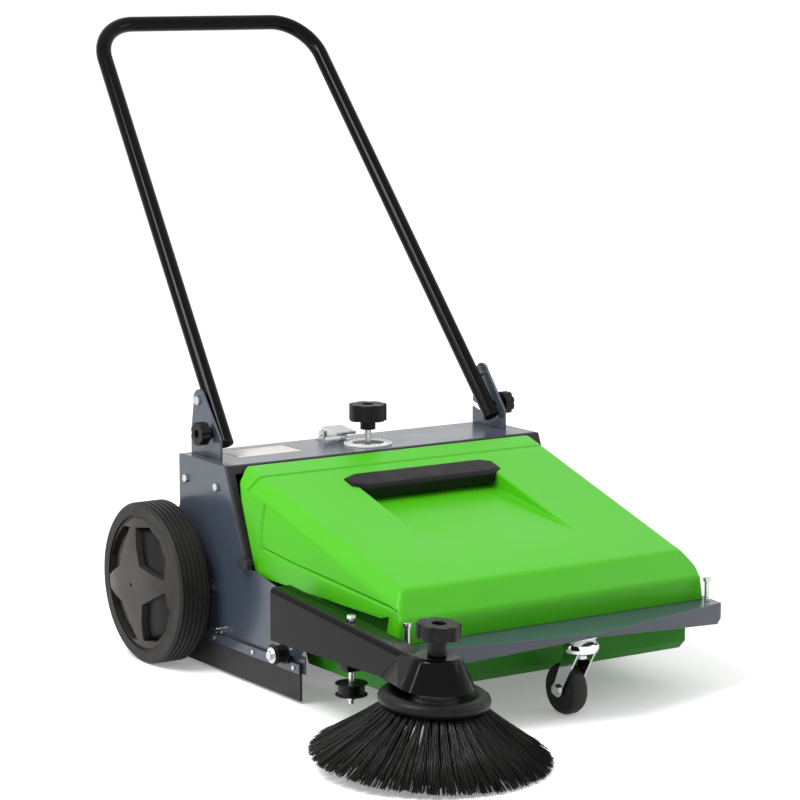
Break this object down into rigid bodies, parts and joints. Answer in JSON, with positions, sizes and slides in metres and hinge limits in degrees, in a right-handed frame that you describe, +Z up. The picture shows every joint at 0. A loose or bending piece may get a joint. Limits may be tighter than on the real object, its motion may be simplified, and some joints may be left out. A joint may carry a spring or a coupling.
{
  "type": "walk-behind sweeper",
  "caption": "Push sweeper with a steel brush housing, lift-out front hopper, swept side brush on a hinged arm, swivel caster and a folding tube handle.",
  "frame": {"origin": "on the floor under the middle of the machine's bounding box", "axes": "+Z up, -Y is the way the machine is pushed, +X to the right seen from the front"},
  "size_m": [0.864, 1.3322, 0.9795],
  "materials": {
    "painted_steel": "satin slate grey powder coat",
    "gloss_black": "gloss black enamel",
    "black_plastic": "moulded black plastic",
    "hub_plastic": "moulded dark grey plastic",
    "rubber": "black rubber",
    "tyre_rubber": "grey-black ribbed rubber",
    "zinc": "bright zinc plating",
    "chrome": "polished chrome plating",
    "hopper_green": "satin moulded green polyethylene",
    "dial_white": "white printed plastic ring",
    "bristle": "black polypropylene bristle"
  },
  "bodies": {
    "chassis": {"side_plate_left": "painted_steel", "side_plate_right": "painted_steel", "top_plate": "painted_steel", "rear_plate": "painted_steel", "front_seal": "rubber", "frame_rails": "painted_steel", "front_plate": "painted_steel", "handle_bracket_left": "painted_steel", "handle_bracket_right": "painted_steel", "handle_pivot_bolts": "zinc", "stub_axle_left": "zinc", "stub_axle_right": "zinc", "axle_nuts": "zinc", "brush_bearings": "zinc", "height_nut": "zinc", "height_dial": "dial_white", "latch_base": "zinc", "latch_pin": "zinc", "hopper_pins": "zinc", "caster_plate": "chrome", "arm_pivot_pin": "zinc", "belt_roller_bolt": "zinc", "skirts": "rubber", "skirt_strips": "painted_steel", "skirt_rivets": "zinc", "wing_bolts": "zinc", "side_bolts": "zinc"},
    "handle": {"push_handle": "gloss_black", "handle_end_caps": "black_plastic"},
    "lock_knob_left_body": {"lock_knob_left": "black_plastic"},
    "lock_knob_right_body": {"lock_knob_right": "black_plastic"},
    "wheel_left": {"wheel_hub_left": "hub_plastic", "tyre_left": "tyre_rubber", "wheel_ring_gear": "black_plastic"},
    "wheel_right": {"wheel_hub_right": "hub_plastic", "tyre_right": "tyre_rubber"},
    "main_brush": {"main_brush_shaft": "zinc", "main_brush_core": "black_plastic", "main_brush_bristles": "bristle", "brush_pinion": "black_plastic"},
    "height_adjuster": {"height_knob": "black_plastic", "height_screw": "zinc"},
    "latch": {"latch_lever": "zinc"},
    "hopper": {"hopper_cover": "hopper_green", "hopper_tub": "hopper_green", "hopper_grip": "black_plastic", "hopper_screws": "zinc"},
    "caster_swivel": {"caster_fork": "chrome", "caster_axle": "zinc"},
    "caster_wheel": {"caster_hub": "hub_plastic", "caster_tyre": "rubber"},
    "arm": {"side_arm": "gloss_black", "arm_idler_bolt": "zinc"},
    "side_brush": {"side_brush_spindle": "zinc", "side_brush_ring": "black_plastic", "side_brush_bristles": "bristle"},
    "side_knob": {"side_brush_knob": "black_plastic"},
    "belt_roller_body": {"belt_roller": "black_plastic"},
    "arm_idler_body": {"arm_idler": "black_plastic"}
  },
  "joints": [
    {"name": "wheel_left_spin", "type": "hinge", "parent": "chassis", "child": "wheel_left", "pos_m": [-0.28598, 0.22463, 0.125], "axis": [1, 0, 0], "continuous": true},
    {"name": "wheel_right_spin", "type": "hinge", "parent": "chassis", "child": "wheel_right", "pos_m": [0.38802, 0.22463, 0.125], "axis": [1, 0, 0], "continuous": true},
    {"name": "main_brush_spin", "type": "hinge", "parent": "chassis", "child": "main_brush", "pos_m": [0.05102, 0.14513, 0.125], "axis": [1, 0, 0], "continuous": true},
    {"name": "handle_fold", "type": "hinge", "parent": "chassis", "child": "handle", "pos_m": [0.05102, 0.20768, 0.40393], "axis": [1, 0, 0], "range_deg": [0, 128]},
    {"name": "lock_knob_left_turn", "type": "hinge", "parent": "handle", "child": "lock_knob_left_body", "pos_m": [-0.22898, 0.17167, 0.35846], "axis": [1, 0, 0], "range_deg": [0, 360]},
    {"name": "lock_knob_right_turn", "type": "hinge", "parent": "handle", "child": "lock_knob_right_body", "pos_m": [0.33102, 0.17167, 0.35846], "axis": [1, 0, 0], "range_deg": [0, 360]},
    {"name": "height_knob_turn", "type": "hinge", "parent": "chassis", "child": "height_adjuster", "pos_m": [0.05102, 0.14263, 0.371], "axis": [0, 0, 1], "range_deg": [-360, 360]},
    {"name": "latch_lift", "type": "hinge", "parent": "chassis", "child": "latch", "pos_m": [0.02702, 0.20863, 0.33], "axis": [-1, 0, 0], "range_deg": [0, 100]},
    {"name": "hopper_lift", "type": "slide", "parent": "chassis", "child": "hopper", "axis": [0, 0, 1], "range_m": [0, 0.05]},
    {"name": "caster_swivel_turn", "type": "hinge", "parent": "chassis", "child": "caster_swivel", "pos_m": [0.05102, -0.41537, 0.11], "axis": [0, 0, 1], "continuous": true},
    {"name": "caster_wheel_spin", "type": "hinge", "parent": "caster_swivel", "child": "caster_wheel", "pos_m": [0.05102, -0.38137, 0.0375], "axis": [1, 0, 0], "continuous": true},
    {"name": "side_arm_lift", "type": "hinge", "parent": "chassis", "child": "arm", "pos_m": [-0.27098, -0.14537, 0.13], "axis": [-1, 0, 0], "range_deg": [0, 12]},
    {"name": "side_brush_spin", "type": "hinge", "parent": "arm", "child": "side_brush", "pos_m": [-0.26278, -0.50482, 0.09998], "axis": [0.0261, -0.061, 0.9978], "continuous": true},
    {"name": "side_knob_turn", "type": "hinge", "parent": "arm", "child": "side_knob", "pos_m": [-0.26056, -0.51001, 0.1848], "axis": [0.0261, -0.061, 0.9978], "range_deg": [0, 360]},
    {"name": "belt_roller_spin", "type": "hinge", "parent": "chassis", "child": "belt_roller_body", "pos_m": [-0.25698, -0.09137, 0.07], "axis": [1, 0, 0], "continuous": true},
    {"name": "arm_idler_spin", "type": "hinge", "parent": "arm", "child": "arm_idler_body", "pos_m": [-0.27098, -0.31037, 0.067], "axis": [0, 0, 1], "continuous": true}
  ],
  "couplings": [
    {"joint": "main_brush_spin", "follows": "wheel_left_spin", "ratio": 4.5333},
    {"joint": "side_brush_spin", "follows": "wheel_left_spin", "ratio": 2},
    {"joint": "belt_roller_spin", "follows": "wheel_left_spin", "ratio": 4},
    {"joint": "arm_idler_spin", "follows": "wheel_left_spin", "ratio": 3.5}
  ]
}
